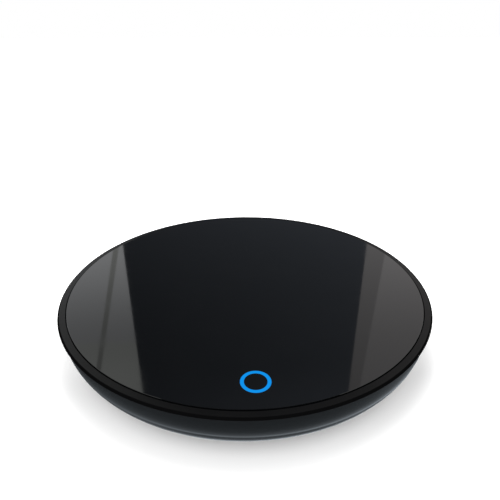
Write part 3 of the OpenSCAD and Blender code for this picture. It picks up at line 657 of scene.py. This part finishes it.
def makeCamera():
    side, down = math.radians(view["cameraSide"]), math.radians(view["lookDown"])
    head = math.radians(view["cameraSide"] + view["lookRight"])
    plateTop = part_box("glass_plate")[1].z
    camera = bpy.data.objects.new("camera", bpy.data.cameras.new("camera"))
    camera.location = (-view["cameraFromAxis"] * mm * math.sin(side),
                       -view["cameraFromAxis"] * mm * math.cos(side),
                       plateTop + view["cameraAbovePlate"] * mm)
    camera.rotation_mode = "YXZ"
    camera.rotation_euler = (math.pi / 2 - down, 0, -head)
    camera.data.lens = view["lens"]
    camera.data.sensor_width = 36
    camera.data.sensor_fit = "HORIZONTAL"
    camera.data.clip_start = 0.005
    bpy.context.scene.collection.objects.link(camera)
    bpy.context.scene.camera = camera


def makeFloor():
    half = studio["floorSize"] / 2 / mm
    points = np.array([(-half, -half, 0), (half, -half, 0), (half, half, 0), (-half, half, 0)], float)
    floor = makeObject("floor", (points, np.array([(0, 1, 2, 3)])))
    if floor.data.polygons[0].normal.z < 0:
        floor.data.flip_normals()
    paper = Finish("floor_paper")
    seen = paper.node("ShaderNodeLightPath", out="Is Camera Ray")
    white = studio["floorWhite"]
    bright = white * studio["floorGain"]
    cover = paper.node("ShaderNodeBsdfDiffuse", None,
                       {"Color": paper.between(seen, shade(white, (1, 1, 1)), shade(bright, (1, 1, 1)))})
    # painted light: a glow that only the camera sees lifts the floor out of the plate's shadow, to plain
    # white outward from the plate, and lighter behind it
    centre = (0, studio["clearsRound"] * mm, 0)
    clear = paper.fromAxis(centre).ramp(*studio["floorClears"])
    behind = (paper.axes(centre)[1] / mm).ramp(*studio["behindStarts"]) * studio["behindLift"]
    lift = paper.node("ShaderNodeEmission", None,
                      {"Color": (1, 1, 1, 1), "Strength": seen * (clear + behind)})
    both = paper.node("ShaderNodeAddShader", None, {0: cover, 1: lift})
    # from below the floor lets everything through, so that nothing hides the underside
    paper.show(paper.node("ShaderNodeMixShader", None,
                          {0: paper.node("ShaderNodeNewGeometry", out="Backfacing"), 1: both,
                           2: paper.node("ShaderNodeBsdfTransparent")}))
    floor.data.materials.append(paper.owner)


def glowing(name, tint):
    # a finish that only shines; its strength is set by whoever asks for it
    paint = Finish(name)
    light = paint.node("ShaderNodeEmission", None, {"Color": rgba(tint)})
    paint.shader = light.socket.node
    return paint.show(light)


def makeCard(name, solid, paint):
    # a flat card that only reflections see
    card = makeObject(name, solid)
    card.data.materials.append(paint.owner)
    for kind in ("camera", "diffuse", "transmission", "volume_scatter", "shadow"):
        setattr(card, "visible_" + kind, False)


def makeCards():
    quad = np.array([(0, 1, 2, 3)])
    for name, look in cards.items():
        low, high, lean = look["begins"], look["ends"], look.get("lean", 0)
        far = studio["cardDistance"] - look.get("nearer", 0)
        foot, head = look["heights"]
        corners = np.array([(low, far, foot), (high, far, foot), (high + lean, far, head),
                            (low + lean, far, head)]) / mm
        paint = glowing(name + "_paint", look["tint"])
        x, y, z = paint.axes()
        across = (x - low) / (high - low)
        up = z.ramp(*look["over"])
        paint.set(Strength=(look["left"] + (look["right"] - look["left"]) * across)
                  * (look["low"] + (look["high"] - look["low"]) * up))
        makeCard(name, (corners, quad), paint)
    half = overCamera["halfWidth"]
    (lowY, lowZ), (highY, highZ) = overCamera["foot"], overCamera["head"]
    corners = np.array([(-half, lowY, lowZ), (half, lowY, lowZ), (half, highY, highZ), (-half, highY, highZ)])
    paint = glowing("over_paint", overCamera["tint"]).set(Strength=overCamera["strength"])
    makeCard("dark_card_over_camera", (corners / mm, quad), paint)


def makePool():
    sides = pool["sides"]
    rim = arc(0, 0, pool["radius"], 0, 360, sides)[:-1]
    disc = np.column_stack([rim, np.full(sides, pool["aboveFloor"])])
    quads = np.array([(i, i + 1, sides - 2 - i, sides - 1 - i) for i in range(sides // 2 - 1)])
    paint = glowing("pool_paint", pool["tint"])
    x, y = paint.axes()[:2]
    distance = paint.fromAxis()
    turn = math.radians(pool["turnedTo"])
    # 1 on the brightest side, -1 behind
    towards = (x * math.sin(turn) - y * math.cos(turn)) / mm / distance
    # painted highlight: a bright line and a softer glow just beyond the overhang, strongest towards the
    # brightest side
    glint = (1 - distance.ramp(*pool["lineFades"])) * pool["line"] \
        + (1 - distance.ramp(*pool["glowFades"])) * pool["glow"]
    facing = ((towards + 1) * 0.5) ** pool["narrowness"]
    beyond = pool["open"] + glint * facing
    # painted shadow under the overhang, with a pale patch at the foot of the bowl towards the brightest side
    foot = (1 - distance.ramp(*pool["footFades"])) * (pool["foot"] - pool["under"]) * facing
    lit = pool["under"] + foot + beyond * distance.ramp(*pool["underEnds"])
    side = pool["back"] + (1 - pool["back"]) * towards.ramp(*pool["backFades"])
    paint.set(Strength=lit * side)
    makeCard("painted_floor_reflection", (disc, quads), paint)


def makeSky():
    world = bpy.data.worlds.new("studio")
    bpy.context.scene.world = world
    sky = Finish("studio", world)
    path = sky.tree.nodes.new("ShaderNodeLightPath")
    seen = (Wire(sky, path.outputs["Is Camera Ray"]) + Wire(sky, path.outputs["Is Glossy Ray"])
            + Wire(sky, path.outputs["Is Transmission Ray"])).ramp(0, 1)
    sky.feed(sky.shader.inputs["Color"], (1, 1, 1, 1))
    sky.feed(sky.shader.inputs["Strength"], studio["skyLevel"] + (1 - studio["skyLevel"]) * seen)


def makeLamp():
    lamp = bpy.data.objects.new("lamp", bpy.data.lights.new("lamp", "AREA"))
    lamp.data.shape = "DISK"
    lamp.data.size = studio["lampSize"]
    lamp.data.energy = studio["lampPower"]
    lamp.location = studio["lampPlace"]
    lamp.rotation_euler = (-lamp.location).to_track_quat("-Z", "Y").to_euler()
    lamp.visible_glossy = False
    bpy.context.scene.collection.objects.link(lamp)


bpy.context.scene.view_settings.view_transform = "Standard"
makeCamera()
makeFloor()
makeSky()
makeLamp()
makeCards()
makePool()
print("camera, floor and light ready")


# glass plate and its lit ring; from here on, sizes of pieces are in mm

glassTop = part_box("glass_plate")[1].z / mm
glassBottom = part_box("glass_plate")[0].z / mm

touchRing = {
    "outerDiameter": 8.42,
    "lineWidth": 1.05,
    "fromCentre": 52.3,
    "depth": 0.4,
    "turns": 96,
}

glassPlate = {
    "radius": 62.15,
    "chamfer": 0.08,
    "arris": 0.02,     # softening of the ground edges
    "ringRoom": 0.01,  # between the glass and the lit ring in it
    "turns": 384,
}


def ringSolid(grow=0.0, above=0.0):
    outer = touchRing["outerDiameter"] / 2 + grow
    inner = touchRing["outerDiameter"] / 2 - touchRing["lineWidth"] - grow
    low, high = glassTop - touchRing["depth"], glassTop + above
    return placed(tube(outer, inner, low, high, touchRing["turns"]), (0, -touchRing["fromCentre"], 0))


def makeGlass():
    cut, r, soft = glassPlate["chamfer"], glassPlate["radius"], glassPlate["arris"]
    outline = softened([(0, glassBottom), (r, glassBottom), (r, glassTop - cut), (r - cut, glassTop),
                        (0, glassTop)], [0, soft, soft, soft, 0])
    glass = makeObject("glass_disc", turned(outline, glassPlate["turns"]))
    carve(glass, "DIFFERENCE", [ringSolid(glassPlate["ringRoom"], above=1.0)])
    dress(glass, "heating_plate", blackGlass().owner, ["glass_plate"])
    ring = makeObject("lit_touch_ring", ringSolid())
    dress(ring, "heating_plate", litBlue().owner, ["touch_ring"])


makeGlass()
print("glass plate and lit ring ready")


# bezel

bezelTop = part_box("bezel_ring")[1].z / mm
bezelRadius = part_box("bezel_ring")[1].x / mm

bezel = {
    "bore": 62.45,
    "thickness": 0.75,
    "bevel": 0.6,
    "edge": 0.07,          # softening of its corners
    "turns": 384,
    "lugAngles": range(0, 360, 60),
    "lugRadius": 52.0,
    "lugWidth": 12.0,
    "lugTop": 15.7,
    "lugBottom": 13.5,
    "lugEnd": 61.0,
    "shelfStart": 54.0,
    "overlap": 0.3,        # of the neck with the hoop
    "neckWall": 0.7,
    "neckBottom": 14.5,
    "pillarRadius": 3.2,   # of the screw pillar under each lug
    "pillarBottom": 8.5,
    "pilotRadius": 1.3,
    "pilotRoof": 1.0,
    "apart": 0.01,         # keeps faces that would lie in one plane from doing so
}


def makeBezel():
    low, bevel, bore = bezelTop - bezel["thickness"], bezel["bevel"], bezel["bore"]
    outline = softened([(bore, low), (bezelRadius, low), (bezelRadius, bezelTop - bevel),
                        (bezelRadius - bevel, bezelTop), (bore, bezelTop)], bezel["edge"])
    hoop = makeObject("bezel_hoop", turned(outline, bezel["turns"]))
    half, start, apart = bezel["lugWidth"] / 2, bezel["lugRadius"], bezel["apart"]
    lugTop, neckBottom = bezel["lugTop"], bezel["neckBottom"]
    wall = bore + bezel["neckWall"]
    span = math.degrees(math.asin(half / wall))
    outer = arc(0, 0, wall, -span, span, 16)
    necks = prism(np.vstack([outer, arc(0, 0, bore + 2 * apart, span, -span, 16)]), neckBottom,
                  low + bezel["overlap"])
    shelf = [(bezel["shelfStart"], half), (bezel["shelfStart"], -half)]
    shelves = prism(np.vstack([outer, shelf]), neckBottom, lugTop)
    tongues = brick((start, -half, bezel["lugBottom"]), (bezel["lugEnd"], half, lugTop - 2 * apart))
    pillars = placed(rod(bezel["pillarRadius"], bezel["pillarBottom"], lugTop - apart), (start, 0, 0))
    for part in (necks, shelves, tongues, pillars):
        carve(hoop, "UNION", [placed(part, turn=a) for a in bezel["lugAngles"]])
    pilots = rod(bezel["pilotRadius"], bezel["pillarBottom"] - 1, lugTop - bezel["pilotRoof"], 32)
    carve(hoop, "DIFFERENCE", around(pilots, start, bezel["lugAngles"]))
    finish = darkEdged(moulded("matte_black"), bezelRadius - bevel, bezelTop - bevel)
    dress(hoop, "base", finish.owner, ["bezel_ring"])


makeBezel()
print("bezel ready")


# bowl

bowl = {
    "radius": 64.0,
    "round": 15.0,
    "wall": 2.0,
    "base": 1.8,
    "rim": 18.75,
    "top": 19.05,
    "seamDepth": 0.5,
    "ledge": 15.8,
    "bore": 62.6,
    "edge": 0.12,
    "turns": 384,
    "postRadius": 43.0,
    "postAngles": range(45, 360, 90),
    "sleeveBore": 2.65,
    "sleeveRadius": 4.2,
    "sleeveTop": 12.5,
    "wellRadius": 4.4,
    "wellTop": 5.0,
    "pedestalRadius": 6.0,
    "pedestalTop": 6.2,
    "footRadius": 5.7,
    "footTop": 2.1,
    "pillarRadius": 3.8,
    "screwHead": 2.8,
    "screwHeadTop": 5.0,
    "screwHole": 1.5,
    "recessRadius": 18.0,
    "recessDepth": 0.3,
    "ventLength": 11.0,
    "ventWidth": 1.6,
    "ventPitch": 3.6,
    "ventX": 26.5,
    "ventTop": 5.8,
    "ventRows": (-1.5, -0.5, 0.5, 1.5),
    "ribHeight": 1.2,
    "ribWidth": 1.2,
    "ringRibs": (24.0, 46.0),
    "spokeStarts": (0, 30),
    "pillarFoot": 3.6,
    "sleeveFoot": 5.7,
    "pedestalFoot": 2.0,
    "boardPost": 2.6,
    "pilotRadius": 1.3,
    "pilotFloor": 3.0,
    "lugRoom": 0.1,        # beside the bezel's lugs, then under them
    "lugRoomUnder": 0.4,
    "lugWall": 61.6,
    "neckRoom": 0.05,
    "neckRoomUnder": 0.2,
    "neckRoomStart": 55.0,
    "sunk": 0.1,           # how far what stands on the floor goes into it
    "apart": 0.01,         # keeps faces that would lie in one plane from doing so
    "below": -1.0,         # cuts go from here up to through
    "through": 60.0,
}

gland = {
    "height": 8.0,
    "bore": 2.7,
    "outer": 3.9,
    "flange": 4.9,
    "collar": 4.7,
    "bossRadius": 5.3,
    "bossStart": 53.0,
    "bossEnd": 61.6,
    "flangeThickness": 1.4,
    "barrelStart": 50.0,
    "grooveStart": 51.7,
    "clampY": 44.0,
    "clampLength": 4.0,
    "clampHalf": 10.4,
    "clampScrew": 7.6,
    "saddleTop": 6.8,
    "barrelRoom": 0.05,
    "collarRoom": 0.2,
    "roomStart": 49.5,
    "outside": 70.0,
}

board = {
    "bottom": 6.0,
    "holes": [(x, y) for x in (-41, 26) for y in (-10, 16)],
}


def bowlOutline():
    flat = bowl["radius"] - bowl["round"]
    arcZ = bowl["base"] + bowl["round"]
    inner = bowl["round"] - bowl["wall"]
    ledgeAngle = math.degrees(math.asin((bowl["ledge"] - arcZ) / inner))
    outside = np.vstack([[(0, bowl["base"])], arc(flat, arcZ, bowl["round"], -90, 0, 40)])
    lip = [(bowl["radius"], bowl["rim"]), (bowl["radius"] - bowl["seamDepth"], bowl["rim"]),
           (bowl["radius"] - bowl["seamDepth"], bowl["top"]), (bowl["bore"], bowl["top"]),
           (bowl["bore"], bowl["ledge"])]
    inside = np.vstack([arc(flat, arcZ, inner, ledgeAngle, -90, 28), [(0, bowl["base"] + bowl["wall"])]])
    points = np.vstack([outside, lip, inside])
    radii = np.zeros(len(points))
    radii[len(outside)] = bowl["edge"]
    return softened(points, radii)


def makeBowl():
    shell = makeObject("bowl", turned(bowlOutline(), bowl["turns"]))
    base, apart, through, below = bowl["base"], bowl["apart"], bowl["through"], bowl["below"]
    floorTop = base + bowl["wall"]
    flat = bowl["radius"] - bowl["round"]
    sunk, ribTop, halfRib = floorTop - bowl["sunk"], floorTop + bowl["ribHeight"], bowl["ribWidth"] / 2

    def atPosts(radius, z0, z1):
        return around(rod(radius, z0, z1, 96), bowl["postRadius"], bowl["postAngles"])

    def atLugs(radius, z0, z1):
        return around(rod(radius, z0, z1), bezel["lugRadius"], bezel["lugAngles"])

    for r in bowl["ringRibs"]:
        carve(shell, "UNION", [tube(r + halfRib, r - halfRib, sunk, ribTop, 192)])
    for start in bowl["spokeStarts"]:
        spoke = brick((bowl["recessRadius"], -halfRib, sunk - apart), (flat, halfRib, ribTop - apart))
        carve(shell, "UNION", [placed(spoke, turn=a) for a in range(start, 360, 60)])
    carve(shell, "UNION", atPosts(bowl["pedestalRadius"], bowl["pedestalFoot"], bowl["pedestalTop"]))
    carve(shell, "UNION", atPosts(bowl["sleeveRadius"], bowl["sleeveFoot"], bowl["sleeveTop"]))
    carve(shell, "UNION", atLugs(bowl["pillarRadius"], bowl["pillarFoot"], bezel["pillarBottom"]))
    carve(shell, "UNION", [placed(rod(bowl["boardPost"], sunk - 2 * apart, board["bottom"]), (x, y, 0))
                           for x, y in board["holes"]])
    clampHalf, clampY, axisZ = gland["clampHalf"], gland["clampY"], gland["height"]
    carve(shell, "UNION", [brick((-clampHalf, clampY, sunk - 3 * apart),
                                 (clampHalf, clampY + gland["clampLength"], gland["saddleTop"]))])
    boss = rod(gland["bossRadius"], gland["bossStart"], gland["bossEnd"], 96)
    carve(shell, "UNION", [lyingAlongY(boss, axisZ)])
    print("bowl: ribs, sleeves and bosses added")

    for radius, top in ((bowl["footRadius"], bowl["footTop"]), (bowl["wellRadius"], bowl["wellTop"]),
                        (bowl["sleeveBore"], through)):
        carve(shell, "DIFFERENCE", atPosts(radius, below, top))
    for radius, top in ((bowl["screwHead"], bowl["screwHeadTop"]), (bowl["screwHole"], through)):
        carve(shell, "DIFFERENCE", atLugs(radius, below, top))
    half = bezel["lugWidth"] / 2 + bowl["lugRoom"]
    pocket = brick((flat, -half, bezel["lugBottom"] - bowl["lugRoomUnder"]), (bowl["lugWall"], half, through))
    wall = bezel["bore"] + bezel["neckWall"] + bowl["neckRoom"]
    span = math.degrees(math.asin(half / wall))
    inner = [(bowl["neckRoomStart"], half), (bowl["neckRoomStart"], -half)]
    neckRoom = prism(np.vstack([arc(0, 0, wall, -span, span, 16), inner]),
                     bezel["neckBottom"] - bowl["neckRoomUnder"], through)
    for room in (pocket, neckRoom):
        carve(shell, "DIFFERENCE", [placed(room, turn=a) for a in bezel["lugAngles"]])
    boardPilot = rod(bowl["pilotRadius"], bowl["pilotFloor"], through, 32)
    carve(shell, "DIFFERENCE", [placed(boardPilot, (x, y, 0)) for x, y in board["holes"]])
    carve(shell, "DIFFERENCE", [rod(bowl["recessRadius"], below, base + bowl["recessDepth"], 192)])
    vent = slotBlock(bowl["ventLength"], bowl["ventWidth"], 0, bowl["ventTop"])
    carve(shell, "DIFFERENCE", [placed(vent, (side * bowl["ventX"], row * bowl["ventPitch"], 0))
                                for side in (-1, 1) for row in bowl["ventRows"]])
    room, outside = gland["collarRoom"], gland["outside"]
    for radius, start, end in ((gland["outer"] + gland["barrelRoom"], gland["bossStart"] - 1, outside),
                               (gland["flange"] + room, gland["bossEnd"], outside),
                               (gland["bore"], clampY - 1, outside),
                               (gland["collar"] + room, gland["roomStart"], gland["bossStart"])):
        carve(shell, "DIFFERENCE", [lyingAlongY(rod(radius, start, end, 96), axisZ)])
    clampPilot = rod(bowl["pilotRadius"], bowl["pilotFloor"], axisZ, 32)
    clampMiddle = clampY + gland["clampLength"] / 2
    carve(shell, "DIFFERENCE", [placed(clampPilot, (side * gland["clampScrew"], clampMiddle, 0))
                                for side in (-1, 1)])
    dress(shell, "base", moulded("satin_black").owner, ["base_housing"])


makeBowl()
print("bowl ready")


# feet and cord gland

feet = {
    "radius": 5.5,
    "round": 0.6,
    "top": 2.1,
    "grooveRadii": (1.6, 2.8, 4.0),
    "grooveWidth": 0.5,
    "grooveDepth": 0.25,
}


def makeFeet():
    # the underside has shallow rings that grip the table
    under = [(0, 0)]
    for r in feet["grooveRadii"]:
        half = feet["grooveWidth"] / 2
        under += [(r - half, 0), (r - half / 2, feet["grooveDepth"]), (r + half / 2, feet["grooveDepth"]),
                  (r + half, 0)]
    corner = arc(feet["radius"] - feet["round"], feet["round"], feet["round"], -90, 0, 6)
    outline = np.vstack([under, corner, [(feet["radius"], feet["top"]), (0, feet["top"])]])
    four = around(turned(outline, 96), bowl["postRadius"], bowl["postAngles"])
    pads = makeObject("foot_pads", together(four))
    dress(pads, "base", moulded("black_rubber").owner, ["rubber_feet"])


def makeGland():
    g = gland
    outline = [(g["bore"], g["barrelStart"]), (g["outer"], g["barrelStart"]),
               (g["outer"], g["grooveStart"]), (g["collar"], g["grooveStart"]),
               (g["collar"], g["bossStart"]), (g["outer"], g["bossStart"]),
               (g["outer"], g["bossEnd"]), (g["flange"], g["bossEnd"]),
               (g["flange"], g["bossEnd"] + g["flangeThickness"]),
               (g["bore"], g["bossEnd"] + g["flangeThickness"])]
    radii = [0.1, 0.15, 0, 0.15, 0.15, 0, 0, 0.1, 0.45, 0.5]
    bush = makeObject("gland_bush", lyingAlongY(turned(softened(outline, radii), 128), g["height"]))
    dress(bush, "base", moulded("black_rubber").owner, ["cord_gland"])


makeFeet()
makeGland()
print("feet and gland ready")


# springs

springs = {
    "wire": 0.7,
    "radius": 5.0,
    "curls": 5,
    "ringsPerCurl": 36,
    "sides": 14,
    "endPitch": 0.165,    # share of the height that the closed curl at each end takes
    "ground": 0.12,       # share of the wire that is ground off its two ends
    "seat": 6.25,
    "top": 14.55,
    "travel": 0.8,
}

contact = {
    "wire": 0.4,
    "radius": 1.9,
    "curls": 4,
    "ringsPerCurl": 32,
    "sides": 12,
    "endPitch": 0.165,
    "ground": 0.12,
}


def coil(look, low, high):
    # a wire follows a helix whose first and last curls lie close, with its ends ground flat:
    # centre = (R cos a, R sin a, height(a)), and a small circle is carried round that centre
    count = look["curls"] * look["ringsPerCurl"] + 1
    t = np.linspace(0, look["curls"], count)
    last = look["curls"] - 1
    middlePitch = (1 - 2 * look["endPitch"]) / (look["curls"] - 2)
    share = np.where(t < 1, t * look["endPitch"],
                     np.where(t > last, 1 - (look["curls"] - t) * look["endPitch"],
                              look["endPitch"] + (t - 1) * middlePitch))
    r = look["wire"] / 2
    height = low + r + share * (high - low - look["wire"])
    a = 2 * math.pi * t[:, None]
    b = 2 * math.pi * (np.arange(look["sides"]) + 0.5)[None, :] / look["sides"]
    rows = np.vstack([0, np.arange(count)[:, None], count - 1]).astype(int).ravel()
    thickness = np.ones((count + 2, 1))
    thickness[0] = thickness[-1] = 0   # both ends close to a point on their own face
    a, height = a[rows], height[rows][:, None]
    out = look["radius"] + thickness * np.cos(b) * r
    ground = look["ground"] * look["wire"]
    up = np.clip(height + thickness * np.sin(b) * r, low + ground, high - ground)
    points = np.stack([out * np.cos(a), out * np.sin(a), up], -1).reshape(-1, 3)
    return points, gridFaces(count + 2, look["sides"], rowsClose=False)


def makeSprings():
    four = around(coil(springs, springs["seat"], springs["top"]), bowl["postRadius"], bowl["postAngles"])
    wires = makeObject("spring_wires", together(four))
    dress(wires, "base", metal("spring_steel").owner, ["plate_springs"], creaseAngle=50)
    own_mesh(wires)
    low, high = (corner.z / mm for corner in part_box("touch_electrode"))
    curls = placed(coil(contact, low, high), (0, -touchRing["fromCentre"], 0))
    electrode = makeObject("contact_spring", curls)
    dress(electrode, "heating_plate", metal("brass_tab").owner, ["touch_electrode"],
          creaseAngle=50)


makeSprings()
print("springs ready")


# finishes of the pieces that come straight from the frame

def paint(finish, *names):
    for name in names:
        mesh = nodes[name].data
        mesh.materials.clear()
        mesh.materials.append(finish.owner)


paint(moulded("silicone_grey"), "glass_bond")
paint(metal("aluminium"), "heat_spreader")
paint(mica(), "mica_upper", "mica_lower")
paint(metal("ribbon_alloy"), "heating_ribbon")
paint(ceramicFibre(), "insulation_pad")
paint(metal("pressed_steel"), "clamp_plate", "fuse_clip")
paint(metal("zinc_screw"), "clamp_screws", "guide_screws", "guide_washers", "led_board_screws",
      "board_screws", "cord_clamp_screws")
paint(metal("black_screw"), "bezel_screws")
paint(metal("brass_tab"), "heater_terminals")
paint(metal("fuse_can"), "thermal_fuse")
paint(leaded(epoxyBrown(), "temperature_sensor", 2, 0.8), "temperature_sensor")
paint(moulded("carrier_black"), "plate_carrier", "cord_clamp")
paint(clearGuide(), "light_guide")
paint(boardGreen(), "led_board", "control_board")
paint(lampWhite(), "led_lamps")
paint(moulded("button_red"), "switch_plunger")
paint(moulded("chip_black"), "switch_housing")
for name, axis, before, after in (("controller_chip", 1, 0.95, 0.95), ("triac", 0, 3.0, 3.3),
                                  ("bridge_rectifier", 1, 0.9, 0.9)):
    paint(leaded(moulded("chip_black"), name, axis, before, after), name)
paint(metal("tinned_leads"), "switch_terminals")
paint(leaded(moulded("sleeve_blue"), "filter_capacitor", 0, 1.5), "filter_capacitor")
paint(resistorBlue(), "resistors")
paint(moulded("nylon_cream"), "wire_headers")
print("finishes ready")

bpy.context.view_layer.update()
